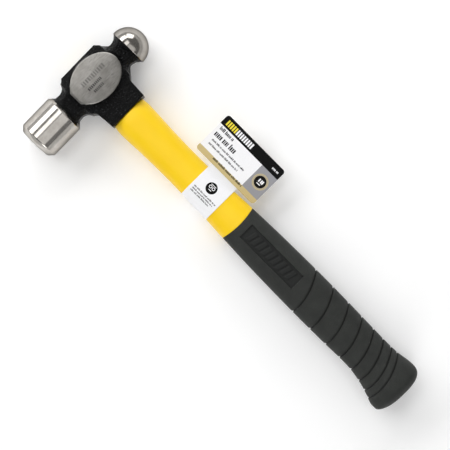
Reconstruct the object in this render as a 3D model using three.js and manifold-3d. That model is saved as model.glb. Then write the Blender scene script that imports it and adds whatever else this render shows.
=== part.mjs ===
// Ball peen hammer: a one-pound forged head on a jacketed fibreglass handle, with its retail label.
// All sizes are in millimetres.
//
// The hammer lies on its side, +Z up. The handle runs along +Y, the striking face looks along +X and the
// ball along -X. The origin is on the surface that the hammer rests on, under the crossing of the head's
// axis and the handle's.
//
// "Across" is along X, the way the head lies: the ball side is -X and the face side is +X. "Depth" is
// along Z. Shapes are made round z = 0 and lifted as one group at the end.
import * as THREE from "three";
import { mergeVertices } from "three/addons/utils/BufferGeometryUtils.js";
import Module from "manifold-3d";

const wasm = await Module();
wasm.setup();

// ---------------------------------------------------------------------------------------------------------
// Driving dimensions
// ---------------------------------------------------------------------------------------------------------

const HALF_WIDTH = 15; // face radius, half the width over the cheeks and half the depth of the butt
const BOND_GAP = 0.25; // glue line between bonded pieces

// Head, along its own axis. Distances are from the handle axis.
const FACE_REACH = 60.7; // to the middle of the striking face
const FACE_LAND = 6; // radius of the flat middle of the face
const FACE_EDGE = { out: 59.8, radius: 12 }; // where the crown meets the chamfer
const FACE_CHAMFER_OUT = 56.7;
const FACE_RIM_OUT = 31.6;
const BALL_CENTRE_OUT = 31.3;
const BALL_RADIUS = 14.1;
const BALL_NECK = { out: 24.2, radius: 9.6, hollow: 6 }; // half width, and the radius of its hollow
const FACE_NECK = { out: 25, radius: 10.6, hollow: 6.4 };
const BLOCK_CORE = 11; // the necks run on into the block as a bar of this half width
const NECK_CORNER = 1.61; // the necks are squares, cut where |y| + |z| is this many half sides

// Eye block, along the handle. Distances are from the head axis.
const BLOCK_TOP = -17.3;
const BLOCK_END = 31.1;
const CHEEK = { across: 20.2, along: 15.2, centre: -0.7 }; // half lengths of the ground oval

// Handle
const HANG = 1.25; // degrees that the handle leans towards the face
const HANDLE_END = 300;
const SQUARE = 2.35; // power of the handle's superellipse section
const TENON = { top: -16, across: 11, depth: 6.7, square: 2.2 };
const CORE = { across: 7.6, depth: 4.7, end: 278 };
const MOUTH = 137; // where the grip starts, at the handle's edges
const MOUTH_BOW = 1.75; // the grip's mouth bows this much towards the butt in the middle of each side
const SEAT = { across: 11.4, depth: 8.4, end: 284 }; // the stretch of jacket inside the grip
const BUTT_START = 290; // where the flare is widest and the butt begins to round off

// Grip grooves: each gap is shorter than the one before it.
// They slant by slant millimetres, up to a crest at that share of the grip's width, and bow back past it.
const GROOVES = { count: 8, first: 197.7, gap: 16.7, shrink: 1.8, depth: 0.8, slant: 9.2, crest: 0.87 };
const GRIP_WIDTH = 31.6;
const PANEL = { from: 144.7, to: 194.6, middle: -0.4, height: 12.1, depth: 0.8 };

// Label: a band round the jacket and, on the ball side, the flag that it ends in
const BAND = { from: 95.8, to: 120.2, gap: 0.3, thick: 0.35 };
const FLAG = { from: 80.1, to: 135.4, inner: 16.2, outer: 47.9, corner: 2.2, thick: 0.6 };

// ---------------------------------------------------------------------------------------------------------
// Materials
// ---------------------------------------------------------------------------------------------------------

const material = (color, roughness, metalness) =>
  new THREE.MeshStandardMaterial({ color, roughness, metalness });

const STEEL = material(0xa9a7a2, 0.28, 1);
const RESIN = material(0xb9a77a, 0.45, 0);
const FIBREGLASS = material(0xd8cfae, 0.55, 0);
const YELLOW_PLASTIC = material(0xfbd325, 0.42, 0);
const BLACK_RUBBER = material(0x3a3c3b, 0.72, 0);
const CARD = material(0xf2f2f4, 0.5, 0);

// ---------------------------------------------------------------------------------------------------------
// Helpers
// ---------------------------------------------------------------------------------------------------------

const { degToRad, lerp, smoothstep } = THREE.MathUtils;

// A closed surface through rings of points that all have the same count. A fan closes each end.
function loft(rings) {
  const count = rings[0].length;
  const middle = (ring) =>
    ring.reduce((sum, p) => sum.add(p), new THREE.Vector3()).divideScalar(count);
  const points = [...rings.flat(), middle(rings[0]), middle(rings.at(-1))];
  const last = (rings.length - 1) * count;
  const index = [];
  for (let i = 0; i < count; i++) {
    const j = (i + 1) % count;
    for (let r = 0; r < last; r += count)
      index.push(r + i, r + count + i, r + j, r + j, r + count + i, r + count + j);
    index.push(points.length - 2, i, j, points.length - 1, last + j, last + i);
  }
  return new THREE.BufferGeometry().setFromPoints(points).setIndex(index);
}

// three.js geometry to a manifold-3d solid. A surface that came out inside out is turned round.
function solid(geometry) {
  const bare = new THREE.BufferGeometry()
    .setAttribute("position", geometry.getAttribute("position"))
    .setIndex(geometry.index);
  const merged = mergeVertices(bare, 1e-3);
  const build = (triVerts) =>
    new wasm.Manifold(
      new wasm.Mesh({ numProp: 3, vertProperties: merged.attributes.position.array, triVerts }),
    );
  const faces = new Uint32Array(merged.index.array);
  const made = build(faces);
  return made.volume() >= 0 ? made : build(faces.reverse());
}

// A manifold-3d solid back to three.js geometry.
function geometryOf(manifold) {
  const { vertProperties, numProp, triVerts } = manifold.getMesh();
  const flat = new THREE.BufferGeometry()
    .setAttribute(
      "position",
      new THREE.InterleavedBufferAttribute(
        new THREE.InterleavedBuffer(new Float32Array(vertProperties), numProp), 3, 0),
    )
    .setIndex([...triVerts])
    .toNonIndexed();
  flat.computeVertexNormals();
  return flat;
}

function mesh(name, manifold, look) {
  const made = new THREE.Mesh(geometryOf(manifold), look);
  made.name = name;
  return made;
}

// A smooth function of one number through [at, value] points, flat beyond both ends.
function through(points) {
  const slope = points.map((p, i) => {
    const [a, b] = [points[Math.max(i - 1, 0)], points[Math.min(i + 1, points.length - 1)]];
    return i === 0 || i === points.length - 1 ? 0 : (b[1] - a[1]) / (b[0] - a[0]);
  });
  return (at) => {
    if (at <= points[0][0]) return points[0][1];
    if (at >= points.at(-1)[0]) return points.at(-1)[1];
    const i = points.findIndex((p) => p[0] > at) - 1;
    const [[x0, y0], [x1, y1]] = [points[i], points[i + 1]];
    const span = x1 - x0;
    const t = (at - x0) / span;
    return (
      y0 * (1 + 2 * t) * (1 - t) ** 2 + slope[i] * span * t * (1 - t) ** 2 +
      y1 * t * t * (3 - 2 * t) + slope[i + 1] * span * t * t * (t - 1)
    );
  };
}

// Whole numbers from 0 to count - 1, and count + 1 numbers spread evenly from one value to another.
const upTo = (count) => Array.from({ length: count }, (_, i) => i);
const spread = (from, to, count) => upTo(count + 1).map((i) => lerp(from, to, i / count));

// ---------------------------------------------------------------------------------------------------------
// Head
// ---------------------------------------------------------------------------------------------------------

const HEAD_SIDES = 40;

// Points along an arc, as [distance towards the ball, radius from the head's axis]. Angles in degrees.
const arc = ([x, y], radius, from, to, steps) =>
  spread(degToRad(from), degToRad(to), steps).map((turn) => [
    x + radius * Math.cos(turn),
    y + radius * Math.sin(turn),
  ]);

// Outline of the round parts from the ball to the striking face, in the same form.
function headOutline() {
  const ballNeckAxis = [BALL_NECK.out, BALL_NECK.radius + BALL_NECK.hollow];
  const faceNeckAxis = [-FACE_NECK.out, FACE_NECK.radius + FACE_NECK.hollow];
  return [
    ...arc([BALL_CENTRE_OUT, 0], BALL_RADIUS, 2, 90, 7),
    ...arc(ballNeckAxis, BALL_NECK.hollow, -42, -156, 5),
    [15, 13],
    [BLOCK_CORE, BLOCK_CORE],
    [-BLOCK_CORE, BLOCK_CORE],
    [-15, 14],
    ...arc(faceNeckAxis, FACE_NECK.hollow, -24, -123, 5),
    [-FACE_RIM_OUT, HALF_WIDTH],
    [-FACE_CHAMFER_OUT, HALF_WIDTH],
    [-FACE_EDGE.out, FACE_EDGE.radius],
    [-FACE_REACH, FACE_LAND],
  ];
}

// 0 under the ball and the face, where the section is round. 1 where it is a square with its corners cut.
const squareness = (out) => 1 - smoothstep(Math.abs(out), 26.5, 30);

function headSpine() {
  const ring = ([out, radius]) =>
    upTo(HEAD_SIDES).map((i) => {
      const turn = (i / HEAD_SIDES) * 2 * Math.PI;
      const [c, s] = [Math.cos(turn), Math.sin(turn)];
      const [ac, as] = [Math.abs(c), Math.abs(s)];
      const cut = 1 / Math.max(ac, as, (ac + as) / NECK_CORNER);
      const r = radius * lerp(1, cut, squareness(out));
      return new THREE.Vector3(-out, r * c, r * s);
    });
  return solid(loft(headOutline().map(ring)));
}

// A rectangle with round corners, as a ring of points in the XZ plane at y.
function blockRing(y, across, depth, corner, steps = 2) {
  const centres = [[1, 1], [-1, 1], [-1, -1], [1, -1]];
  return centres.flatMap(([sx, sz], quarter) =>
    spread(quarter, quarter + 1, steps).map((q) => {
      const turn = (q * Math.PI) / 2;
      return new THREE.Vector3(
        sx * (across - corner) + corner * Math.cos(turn),
        y,
        sz * (depth - corner) + corner * Math.sin(turn),
      );
    }),
  );
}

// The block is widest between the necks, and slopes in to its top and to the collar.
function eyeBlock() {
  const corner = 1.6;
  return solid(loft([
    blockRing(BLOCK_TOP, 15.2, 10.4, corner),
    blockRing(BLOCK_TOP + 0.8, 16.3, 11.1, corner),
    blockRing(-13.4, 18.4, 11.8, corner),
    blockRing(13.6, 18.4, 11.8, corner),
    blockRing(17, 16.2, 11.6, corner),
    blockRing(20, 15.7, 11.5, corner),
    blockRing(BLOCK_END - 0.6, 15.4, 11.3, corner),
    blockRing(BLOCK_END, 14.9, 10.8, corner),
  ]));
}

// The boss that carries the cheeks: an oval column through the block, ground flat at both ends.
function cheekBoss() {
  const sides = 48;
  const ring = ([z, grow]) =>
    upTo(sides).map((i) => {
      const turn = (i / sides) * 2 * Math.PI;
      return new THREE.Vector3(
        CHEEK.centre + (CHEEK.across + grow) * Math.cos(turn),
        (CHEEK.along + grow) * Math.sin(turn),
        z,
      );
    });
  const foot = 1.2;
  return solid(loft([[HALF_WIDTH, 0], [9, foot], [-9, foot], [-HALF_WIDTH, 0]].map(ring)));
}

// The eye narrows in the middle, so that the resin is locked in. grow widens it or, below zero, narrows it.
function eyeSpace(top, end, grow) {
  const across = through([[BLOCK_TOP, 13.1], [4, 12.3], [BLOCK_END, 12.7]]);
  const depth = through([[BLOCK_TOP, 8.3], [4, 7.6], [BLOCK_END, 8]]);
  const ring = (y) => ovalRing(y, across(y) + grow, depth(y) + grow, 2.4);
  return solid(loft(spread(top, end, 6).map(ring)));
}

function head() {
  const past = 5;
  return headSpine()
    .add(eyeBlock())
    .add(cheekBoss())
    .subtract(eyeSpace(BLOCK_TOP - past, BLOCK_END + past, 0));
}

// ---------------------------------------------------------------------------------------------------------
// Handle
// ---------------------------------------------------------------------------------------------------------

const HANDLE_SIDES = 32;

// A point of an oval in the XZ plane at y. square is the power of the superellipse: 2 is an ellipse, more is
// boxier.
function ovalPoint(turn, y, ballSide, faceSide, depth, square) {
  const [c, s] = [Math.cos(turn), Math.sin(turn)];
  const x = (c < 0 ? ballSide : faceSide) * Math.sign(c) * Math.abs(c) ** (2 / square);
  const z = depth * Math.sign(s) * Math.abs(s) ** (2 / square);
  return new THREE.Vector3(x, y, z);
}

const handleTurns = upTo(HANDLE_SIDES).map((i) => (i / HANDLE_SIDES) * 2 * Math.PI);

// The whole oval. bend moves each point along the handle, as a function of its x.
function ovalRing(y, halfAcross, depth, square, bend = () => 0) {
  return handleTurns.map((turn) => {
    const point = ovalPoint(turn, y, halfAcross, halfAcross, depth, square);
    point.y += bend(point.x);
    return point;
  });
}

// Half sizes of the handle's outside, jacket and grip alike, at each y.
const ballHalf = through([
  [31, 13.6], [38, 14.05], [60, 13.1], [84, 12.75], [120, 13.5], [MOUTH, 14.4], [165, 15.4],
  [205, 16], [235, 15.75], [262, 15.3], [276, 15.6], [BUTT_START, 17.4],
]);
const faceHalf = through([
  [31, 13.4], [38, 14.05], [60, 13.1], [84, 12.75], [120, 13.5], [MOUTH, 14.4], [165, 15.4],
  [205, 15.9], [235, 15.65], [260, 15.2], [274, 17.3], [283, 20], [BUTT_START, 22.3],
]);
const depthHalf = through([
  [31, 10.2], [38, 10.6], [60, 9.8], [84, 9.4], [120, 9.9], [MOUTH, 10.6], [165, 11.9],
  [205, 12.6], [235, 12.3], [262, 12], [276, 13], [BUTT_START, HALF_WIDTH],
]);
// A ring of the handle's outside, grown by grow and shrunk to share where the butt rounds off. A point that
// bend has moved takes the size that the handle has where it lands.
function handleRing(y, grow = 0, bend = () => 0, share = 1) {
  return handleTurns.map((turn) => {
    const pointAt = (place) => {
      const [ball, face, depth] = [ballHalf, faceHalf, depthHalf].map((half) => half(place) * share + grow);
      return ovalPoint(turn, place, ball, face, depth, SQUARE);
    };
    return upTo(4).reduce((point) => pointAt(y + bend(point.x)), pointAt(y));
  });
}

// The bow of the grip's mouth, and the slant of the handle's shoulder that sits square to the head.
const mouthBow = (x) => MOUTH_BOW * (1 - (x / ballHalf(MOUTH)) ** 2);
const squareToHead = (x) => x * Math.tan(degToRad(HANG));

function coreSolid(grow = 0, top = TENON.top, end = CORE.end) {
  const ring = (y) => ovalRing(y, CORE.across + grow, CORE.depth + grow, 2);
  return solid(loft([ring(top), ring(end)]));
}

// A ring of the tenon in the eye, and one of the seat in the grip.
const tenonRing = (y, grow = 0, bend = undefined) =>
  ovalRing(y, TENON.across + grow, TENON.depth + grow, TENON.square, bend);
const seatRing = (y, grow = 0, bend = undefined) =>
  ovalRing(y, SEAT.across + grow, SEAT.depth + grow, SQUARE, bend);

function jacket() {
  const shoulder = BLOCK_END + 0.3;
  const outside = solid(loft([
    tenonRing(TENON.top),
    tenonRing(shoulder, 0, squareToHead),
    handleRing(shoulder, -0.8, squareToHead),
    handleRing(shoulder + 0.5, 0, squareToHead),
    ...spread(36, 132, 12).map((y) => handleRing(y)),
    handleRing(MOUTH - 0.5, 0, mouthBow),
    handleRing(MOUTH, -0.5, mouthBow),
    seatRing(MOUTH, 0, mouthBow),
    seatRing(SEAT.end - 2),
    seatRing(SEAT.end, -2),
  ]));
  return outside.subtract(coreSolid(BOND_GAP, TENON.top - 5, CORE.end + BOND_GAP));
}

// The way a groove runs over the grip, from its start at the ball side.
function grooveBend(x) {
  const across = x / GRIP_WIDTH + 0.5; // 0 at the ball side, 1 at the face side
  return GROOVES.slant * (1 - (across / GROOVES.crest - 1) ** 2);
}

const grooveAt = (i) => GROOVES.first + i * GROOVES.gap - (GROOVES.shrink * i * (i - 1)) / 2;

// [offset along the handle, share of the groove's depth]: a soft slope in, a steep wall out.
const GROOVE_SHAPE = [[-1.6, 0], [0, 1], [0.6, 0]];

function gripOutside(shrink = 0) {
  const bent = (share, y, less) => handleRing(y, -shrink - less, (x) => share * grooveBend(x));
  const front = MOUTH + BOND_GAP;
  const grooves = upTo(GROOVES.count).flatMap((i) =>
    GROOVE_SHAPE.map(([offset, depth]) => bent(1, grooveAt(i) + offset, depth * GROOVES.depth)),
  );
  const butt = [0, 0.35, 0.6, 0.8, 0.92, 1].map((t) => {
    const share = (1 - (0.96 * t) ** 2.7) ** (1 / 2.7);
    return handleRing(lerp(BUTT_START, HANDLE_END, t), -shrink, undefined, share);
  });
  return solid(loft([
    seatRing(front, BOND_GAP, mouthBow),
    handleRing(front, -shrink - 0.4, mouthBow),
    handleRing(front + 0.5, -shrink, mouthBow),
    ...spread(143, 183, 5).map((y) => handleRing(y, -shrink)),
    bent(0.5, 189, 0),
    ...grooves,
    bent(0.5, 284, 0),
    ...butt,
  ]));
}

// A plain recess in each broad side of the grip, its floor parallel to the side.
function panelRecess() {
  const box = new THREE.BoxGeometry(PANEL.height, PANEL.to - PANEL.from, 60);
  box.translate(PANEL.middle, (PANEL.from + PANEL.to) / 2, 0);
  return solid(box).subtract(gripOutside(PANEL.depth));
}

function grip() {
  const socket = solid(loft([seatRing(MOUTH - 8, BOND_GAP), seatRing(SEAT.end + BOND_GAP, BOND_GAP)]));
  return gripOutside().subtract(panelRecess()).subtract(socket);
}

// The resin fills the eye round the tenon, up to just under the top of the head.
function eyeResin() {
  const fill = eyeSpace(BLOCK_TOP + 1.5, BLOCK_END - 0.3, -BOND_GAP);
  const tenon = solid(loft([tenonRing(BLOCK_TOP - 5, BOND_GAP), tenonRing(BLOCK_END + 5, BOND_GAP)]));
  return fill.subtract(tenon.rotate([0, 0, -HANG]));
}

// ---------------------------------------------------------------------------------------------------------
// Label: one die-cut card whose band wraps the jacket and whose ends are stuck together as a flag
// ---------------------------------------------------------------------------------------------------------

const labelTube = (from, to, grow) =>
  solid(loft(spread(from, to, 3).map((y) => handleRing(y, grow))));

function labelFlag() {
  const { from, to, inner, outer, corner, thick } = FLAG;
  const quarter = Math.PI / 2;
  const inHandle = 0;
  const card = new THREE.Shape();
  card.absarc(-outer + corner, from + corner, corner, -2 * quarter, -quarter);
  card.absarc(-inner - corner, from + corner, corner, -quarter, 0);
  card.lineTo(-inner, BAND.from);
  card.lineTo(inHandle, BAND.from);
  card.lineTo(inHandle, BAND.to);
  card.lineTo(-inner, BAND.to);
  card.absarc(-inner - corner, to - corner, corner, 0, quarter);
  card.absarc(-outer + corner, to - corner, corner, quarter, 2 * quarter);
  const plate = new THREE.ExtrudeGeometry(card, { depth: thick, bevelEnabled: false, curveSegments: 3 });
  plate.translate(0, 0, -thick / 2);
  plate.deleteAttribute("normal").deleteAttribute("uv");
  return solid(mergeVertices(plate, 1e-3));
}

function label() {
  const past = 6;
  return labelFlag()
    .add(labelTube(BAND.from, BAND.to, BAND.gap + BAND.thick))
    .subtract(labelTube(BAND.from - past, BAND.to + past, BAND.gap));
}

// ---------------------------------------------------------------------------------------------------------
// Assembly
// ---------------------------------------------------------------------------------------------------------

const headGroup = new THREE.Group().add(
  mesh("head", head(), STEEL),
  mesh("eye_resin", eyeResin(), RESIN),
);

const handleGroup = new THREE.Group().add(
  mesh("core_rod", coreSolid(), FIBREGLASS),
  mesh("handle_jacket", jacket(), YELLOW_PLASTIC),
  mesh("grip", grip(), BLACK_RUBBER),
  mesh("flag_label", label(), CARD),
);
handleGroup.rotation.z = -degToRad(HANG);

const hammer = new THREE.Group().add(headGroup, handleGroup);
hammer.position.z = HALF_WIDTH;

export default hammer;
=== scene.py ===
"""Ball peen hammer lying on its side: fine shapes, materials, light and camera round the CAD frame.

Lengths are in millimetres until a mesh is made. Two local frames are used, both lifted so that z = 0
is the hammer's middle plane. The head's frame is the row's: x towards the striking face, y along the
handle. The handle's frame is that one turned by the small angle at which the handle hangs.
"""
from math import atan2, cos, pi, radians, sin, tan

import bmesh
import bpy
import numpy as np
from mathutils import Matrix, Vector


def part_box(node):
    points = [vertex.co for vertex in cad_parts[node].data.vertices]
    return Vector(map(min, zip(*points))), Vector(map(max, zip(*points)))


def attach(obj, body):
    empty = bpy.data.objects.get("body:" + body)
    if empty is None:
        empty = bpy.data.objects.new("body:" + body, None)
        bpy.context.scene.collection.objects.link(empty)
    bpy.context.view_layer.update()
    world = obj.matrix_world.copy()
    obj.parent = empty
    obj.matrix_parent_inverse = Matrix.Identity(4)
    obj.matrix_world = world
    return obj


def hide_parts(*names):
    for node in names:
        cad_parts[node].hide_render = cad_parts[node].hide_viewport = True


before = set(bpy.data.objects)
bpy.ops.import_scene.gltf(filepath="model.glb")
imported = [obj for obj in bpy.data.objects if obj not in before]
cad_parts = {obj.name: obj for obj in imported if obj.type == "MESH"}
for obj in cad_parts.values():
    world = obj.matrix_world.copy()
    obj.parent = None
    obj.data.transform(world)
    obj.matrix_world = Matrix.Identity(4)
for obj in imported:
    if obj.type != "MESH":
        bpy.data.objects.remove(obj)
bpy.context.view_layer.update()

MM = 0.001


def box_mm(node):
    """Lowest and highest corner of a CAD node, in millimetres."""
    low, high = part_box(node)
    return low / MM, high / MM


# ------------------------------------------------------------
# Driving dimensions
# ------------------------------------------------------------

head_low, head_high = box_mm("head")
rod_low, rod_high = box_mm("core_rod")
grip_high = box_mm("grip")[1]

MIDDLE_Z = (head_low.z + head_high.z) / 2
HALF_WIDTH = (head_high.z - head_low.z) / 2     # face radius and half the width over the cheeks
FACE_REACH = head_high.x
BLOCK_TOP = head_low.y
BLOCK_END = head_high.y
HANG = atan2(rod_low.x + rod_high.x, rod_low.y + rod_high.y)

BALL_RADIUS = 14.1
BALL_CENTRE = -(abs(head_low.x) - BALL_RADIUS)
# Each neck is thinnest this far out, with this half width and this radius of its hollow.
BALL_NECK = dict(out=24.2, radius=9.6, hollow=6.0)
FACE_NECK = dict(out=25.0, radius=10.6, hollow=6.4)
FACE_RIM = 31.6         # where the face's cylinder begins
NECK_CORNER = 1.61      # the necks are squares, cut where |y| + |z| is this many half sides
# Half sizes of the ground oval, its centre, and where it is cut straight at the face's end.
CHEEK = dict(across=20.2, along=15.2, centre=-0.7, flat=18.8)
CHEEK_OUT = HALF_WIDTH - 0.05      # leaves room for the marks on the cheek
CHEEK_EDGE = 1.8        # width over which the cheek rounds into its boss
GROUND_FROM = HALF_WIDTH - 0.5     # grinding has bared the steel above this height

HANDLE_END = grip_high.y
BUTT_START = HANDLE_END - 10
SQUARE = 2.35           # power of the handle's superellipse section
TENON = dict(top=rod_low.y, across=11.0, depth=6.7, square=2.2)      # across and depth are half sizes
ROD = dict(across=7.6, depth=4.7)       # half sizes too
MOUTH = 137.0           # where the grip begins at the handle's edges
MOUTH_BOW = 1.75        # how far it bows between them
PANEL = dict(start=144.7, end=194.6, middle=-0.4, height=12.1, depth=0.95)
# Each gap between grooves is shorter than the last by shrink. A groove bows by slant along the handle,
# and is highest at crest of the grip's width.
GROOVES = dict(count=8, first=197.7, gap=16.7, shrink=1.8, depth=0.85, slant=9.2, crest=0.87)
GRIP_WIDTH = 31.6

# The label's parts, from start to end along the handle. inner and outer are distances from its axis.
BAND = dict(start=95.8, end=120.2, thick=0.3)
FLAG = dict(start=80.1, end=135.4, inner=16.2, outer=47.9, corner=2.2, thick=0.5)


# ------------------------------------------------------------
# Numbers
# ------------------------------------------------------------

def through(points):
    """A smooth function of one number through (at, value) points, flat beyond both ends."""
    at, value = np.array(points, float).T
    slope = np.zeros(len(at))
    slope[1:-1] = (value[2:] - value[:-2]) / (at[2:] - at[:-2])

    def curve(x):
        x = np.clip(np.asarray(x, float), at[0], at[-1])
        i = np.clip(np.searchsorted(at, x, side="right") - 1, 0, len(at) - 2)
        span = at[i + 1] - at[i]
        t = (x - at[i]) / span
        return (value[i] * (1 + 2 * t) * (1 - t) ** 2 + slope[i] * span * t * (1 - t) ** 2
                + value[i + 1] * t * t * (3 - 2 * t) + slope[i + 1] * span * t * t * (t - 1))

    return curve


def smoothstep(x, low, high):
    """Rises from 0 at low to 1 at high, level at both ends."""
    t = np.clip((np.asarray(x, float) - low) / (high - low), 0, 1)
    return t * t * (3 - 2 * t)


def smooth_min(a, b, k):
    """The lower of two distances, rounded over a width k where they meet."""
    h = np.maximum(k - np.abs(a - b), 0) / k
    return np.minimum(a, b) - h * h * k / 4


def smooth_max(a, b, k):
    """The higher of two distances, rounded over a width k where they meet."""
    return -smooth_min(-a, -b, k)


def arc(centre, radius, start, end, steps):
    """Points along an arc. Angles in degrees."""
    return [(centre[0] + radius * cos(a), centre[1] + radius * sin(a))
            for a in np.radians(np.linspace(start, end, steps + 1))]


def even_turns(sides):
    """Evenly spaced angles round a circle, in radians."""
    return np.linspace(0, 2 * pi, sides, endpoint=False)


# ------------------------------------------------------------
# Meshes
# ------------------------------------------------------------

LIFT = Matrix.Translation((0, 0, MIDDLE_Z * MM))
HEAD_FRAME = LIFT @ Matrix.Scale(MM, 4)
HANDLE_FRAME = LIFT @ Matrix.Rotation(-HANG, 4, "Z") @ Matrix.Scale(MM, 4)


def piece(name, points, faces, materials, local, replaces=(), crease=40, face_materials=None):
    """A closed mesh from points in a local frame, as a piece that rides on the hammer."""
    mesh = bpy.data.meshes.new(name)
    mesh.from_pydata([tuple(map(float, p)) for p in points], [], [tuple(map(int, f)) for f in faces])
    for material in materials:
        mesh.materials.append(material)
    if face_materials is not None:
        mesh.polygons.foreach_set("material_index", np.array(face_materials, np.int32))
    mesh.transform(local)
    tidy = bmesh.new()
    tidy.from_mesh(mesh)
    bmesh.ops.recalc_face_normals(tidy, faces=tidy.faces)
    tidy.to_mesh(mesh)
    tidy.free()
    mesh.polygons.foreach_set("use_smooth", [True] * len(mesh.polygons))
    mesh.set_sharp_from_angle(angle=radians(crease))
    made = bpy.data.objects.new(name, mesh)
    bpy.context.scene.collection.objects.link(made)
    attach(made, "root")
    if replaces:
        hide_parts(*replaces)


def loft(rings):
    """Points and faces of a closed surface through rings of equal count. A fan closes each end."""
    rings = [np.asarray(r, float) for r in rings]
    count = len(rings[0])
    points = np.vstack(rings + [rings[0].mean(0)[None], rings[-1].mean(0)[None]])
    first, last = len(points) - 2, len(points) - 1
    faces = []
    for r in range(len(rings) - 1):
        a, b = r * count, (r + 1) * count
        faces += [(a + i, a + (i + 1) % count, b + (i + 1) % count, b + i) for i in range(count)]
    end = (len(rings) - 1) * count
    faces += [(first, (i + 1) % count, i) for i in range(count)]
    faces += [(last, end + i, end + (i + 1) % count) for i in range(count)]
    return points, faces


def lathe_x(profile, sides):
    """Rings round the head's axis for (x, radius) points. The first and last are small circles."""
    turns = even_turns(sides)
    across, up = np.cos(turns), np.sin(turns)
    return [np.column_stack([np.full(sides, x), r * across, r * up]) for x, r in profile]


def surface_nets(distance, low, high, step):
    """Points and quads of the surface where a distance function of (n, 3) points is zero."""
    axes = [np.arange(a, b + step, step) for a, b in zip(low, high)]
    grid = np.stack(np.meshgrid(*axes, indexing="ij"), -1)
    shape = grid.shape[:3]
    value = distance(grid.reshape(-1, 3)).reshape(shape)
    inside = value < 0

    total = np.zeros(tuple(n - 1 for n in shape) + (3,))
    crossings = np.zeros(tuple(n - 1 for n in shape))
    for axis in range(3):
        near = tuple(slice(0, -1) if a == axis else slice(None) for a in range(3))
        far = tuple(slice(1, None) if a == axis else slice(None) for a in range(3))
        crossed = inside[near] != inside[far]
        difference = np.where(crossed, value[near] - value[far], 1)
        t = np.where(crossed, value[near] / difference, 0)
        place = grid[near].copy()
        place[..., axis] += t * step
        others = [a for a in range(3) if a != axis]
        for shift in np.ndindex(2, 2):
            window = [slice(None)] * 3
            for other, move in zip(others, shift):
                window[other] = slice(move, shape[other] - 1 + move)
            window = tuple(window)
            total += np.where(crossed[window][..., None], place[window], 0)
            crossings += crossed[window]

    used = crossings > 0
    index = np.full(used.shape, -1)
    index[used] = np.arange(used.sum())
    points = total[used] / crossings[used][:, None]

    quads = []
    for axis in range(3):
        near = tuple(slice(0, -1) if a == axis else slice(1, -1) for a in range(3))
        far = tuple(slice(1, None) if a == axis else slice(1, -1) for a in range(3))
        at = np.argwhere(inside[near] != inside[far])
        one, two = [a for a in range(3) if a != axis]
        corners = []
        for first, second in ((0, 0), (1, 0), (1, 1), (0, 1)):
            cell = at.copy()
            cell[:, one] += first
            cell[:, two] += second
            corners.append(index[tuple(cell.T)])
        quads.append(np.column_stack(corners))
    return points, np.vstack(quads)


def settle(points, distance, steps=3, reach=0.02):
    """Moves points onto the surface where the distance function is zero."""
    for _ in range(steps):
        slopes = []
        for axis in range(3):
            shift = np.zeros(3)
            shift[axis] = reach
            slopes.append((distance(points + shift) - distance(points - shift)) / (2 * reach))
        slope = np.column_stack(slopes)
        points = points - slope * (distance(points) / np.maximum((slope ** 2).sum(1), 0.2))[:, None]
    return points


def everything(mesh):
    """All the elements of a bmesh, for the operators that cut it."""
    return mesh.verts[:] + mesh.edges[:] + mesh.faces[:]


# ------------------------------------------------------------
# Materials
# ------------------------------------------------------------

class Paint:
    """A small helper that builds one material's nodes."""

    def __init__(self, name):
        self.material = bpy.data.materials.new(name)
        self.material.use_nodes = True
        self.nodes = self.material.node_tree.nodes
        self.links = self.material.node_tree.links
        self.shader = self.nodes["Principled BSDF"]
        self.where = self.nodes.new("ShaderNodeTexCoord").outputs["Object"]
        self.last_normal = None

    def set(self, **values):
        """Constants on the shader's own sockets, named with underscores for spaces."""
        for name, value in values.items():
            self.shader.inputs[name.replace("_", " ")].default_value = value

    def link(self, output, socket):
        """A pattern into one of the shader's sockets."""
        self.links.new(output, self.shader.inputs[socket])

    def node(self, kind, inputs=(), **settings):
        """A new node, each of whose inputs is a number, a colour or another node's output."""
        made = self.nodes.new(kind)
        for name, value in settings.items():
            setattr(made, name, value)
        for name, value in dict(inputs).items():
            if isinstance(value, bpy.types.NodeSocket):
                self.links.new(value, made.inputs[name])
            else:
                made.inputs[name].default_value = value
        return made

    def stretched(self, scale):
        """Object coordinates, scaled along each axis. A small scale draws a pattern out that way."""
        return self.node("ShaderNodeMapping", {"Vector": self.where, "Scale": scale}).outputs["Vector"]

    def noise(self, size_mm, detail=3.0, rough=0.55, vector=None):
        """Cloudy noise, near 0.5 on average."""
        inputs = {"Vector": vector or self.where, "Scale": 1 / (size_mm * MM), "Detail": detail}
        inputs["Roughness"] = rough
        return self.node("ShaderNodeTexNoise", inputs).outputs["Fac"]

    def pits(self, size_mm, vector=None):
        """Distance to the nearest of many scattered points."""
        inputs = {"Vector": vector or self.where, "Scale": 1 / (size_mm * MM)}
        return self.node("ShaderNodeTexVoronoi", inputs).outputs["Distance"]

    def spread(self, value, low, high, from_low=0.3, from_high=0.7):
        """A value stretched from one range to another, and held within it."""
        inputs = {"Value": value, "From Min": from_low, "From Max": from_high}
        inputs |= {"To Min": low, "To Max": high}
        return self.node("ShaderNodeMapRange", inputs).outputs["Result"]

    def blend(self, share, first, second):
        """The second colour over the first, by a share from 0 to 1."""
        made = self.node("ShaderNodeMix", data_type="RGBA")
        for socket, value in ((made.inputs[0], share), (made.inputs[6], first), (made.inputs[7], second)):
            if isinstance(value, bpy.types.NodeSocket):
                self.links.new(value, socket)
            else:
                socket.default_value = value
        return made.outputs[2]

    def bump(self, height, depth_mm):
        """Fine relief on top of any that was added before."""
        inputs = {"Height": height, "Distance": depth_mm * MM, "Strength": 1.0}
        if self.last_normal:
            inputs["Normal"] = self.last_normal
        made = self.node("ShaderNodeBump", inputs)
        self.last_normal = made.outputs["Normal"]
        self.links.new(self.last_normal, self.shader.inputs["Normal"])


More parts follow.
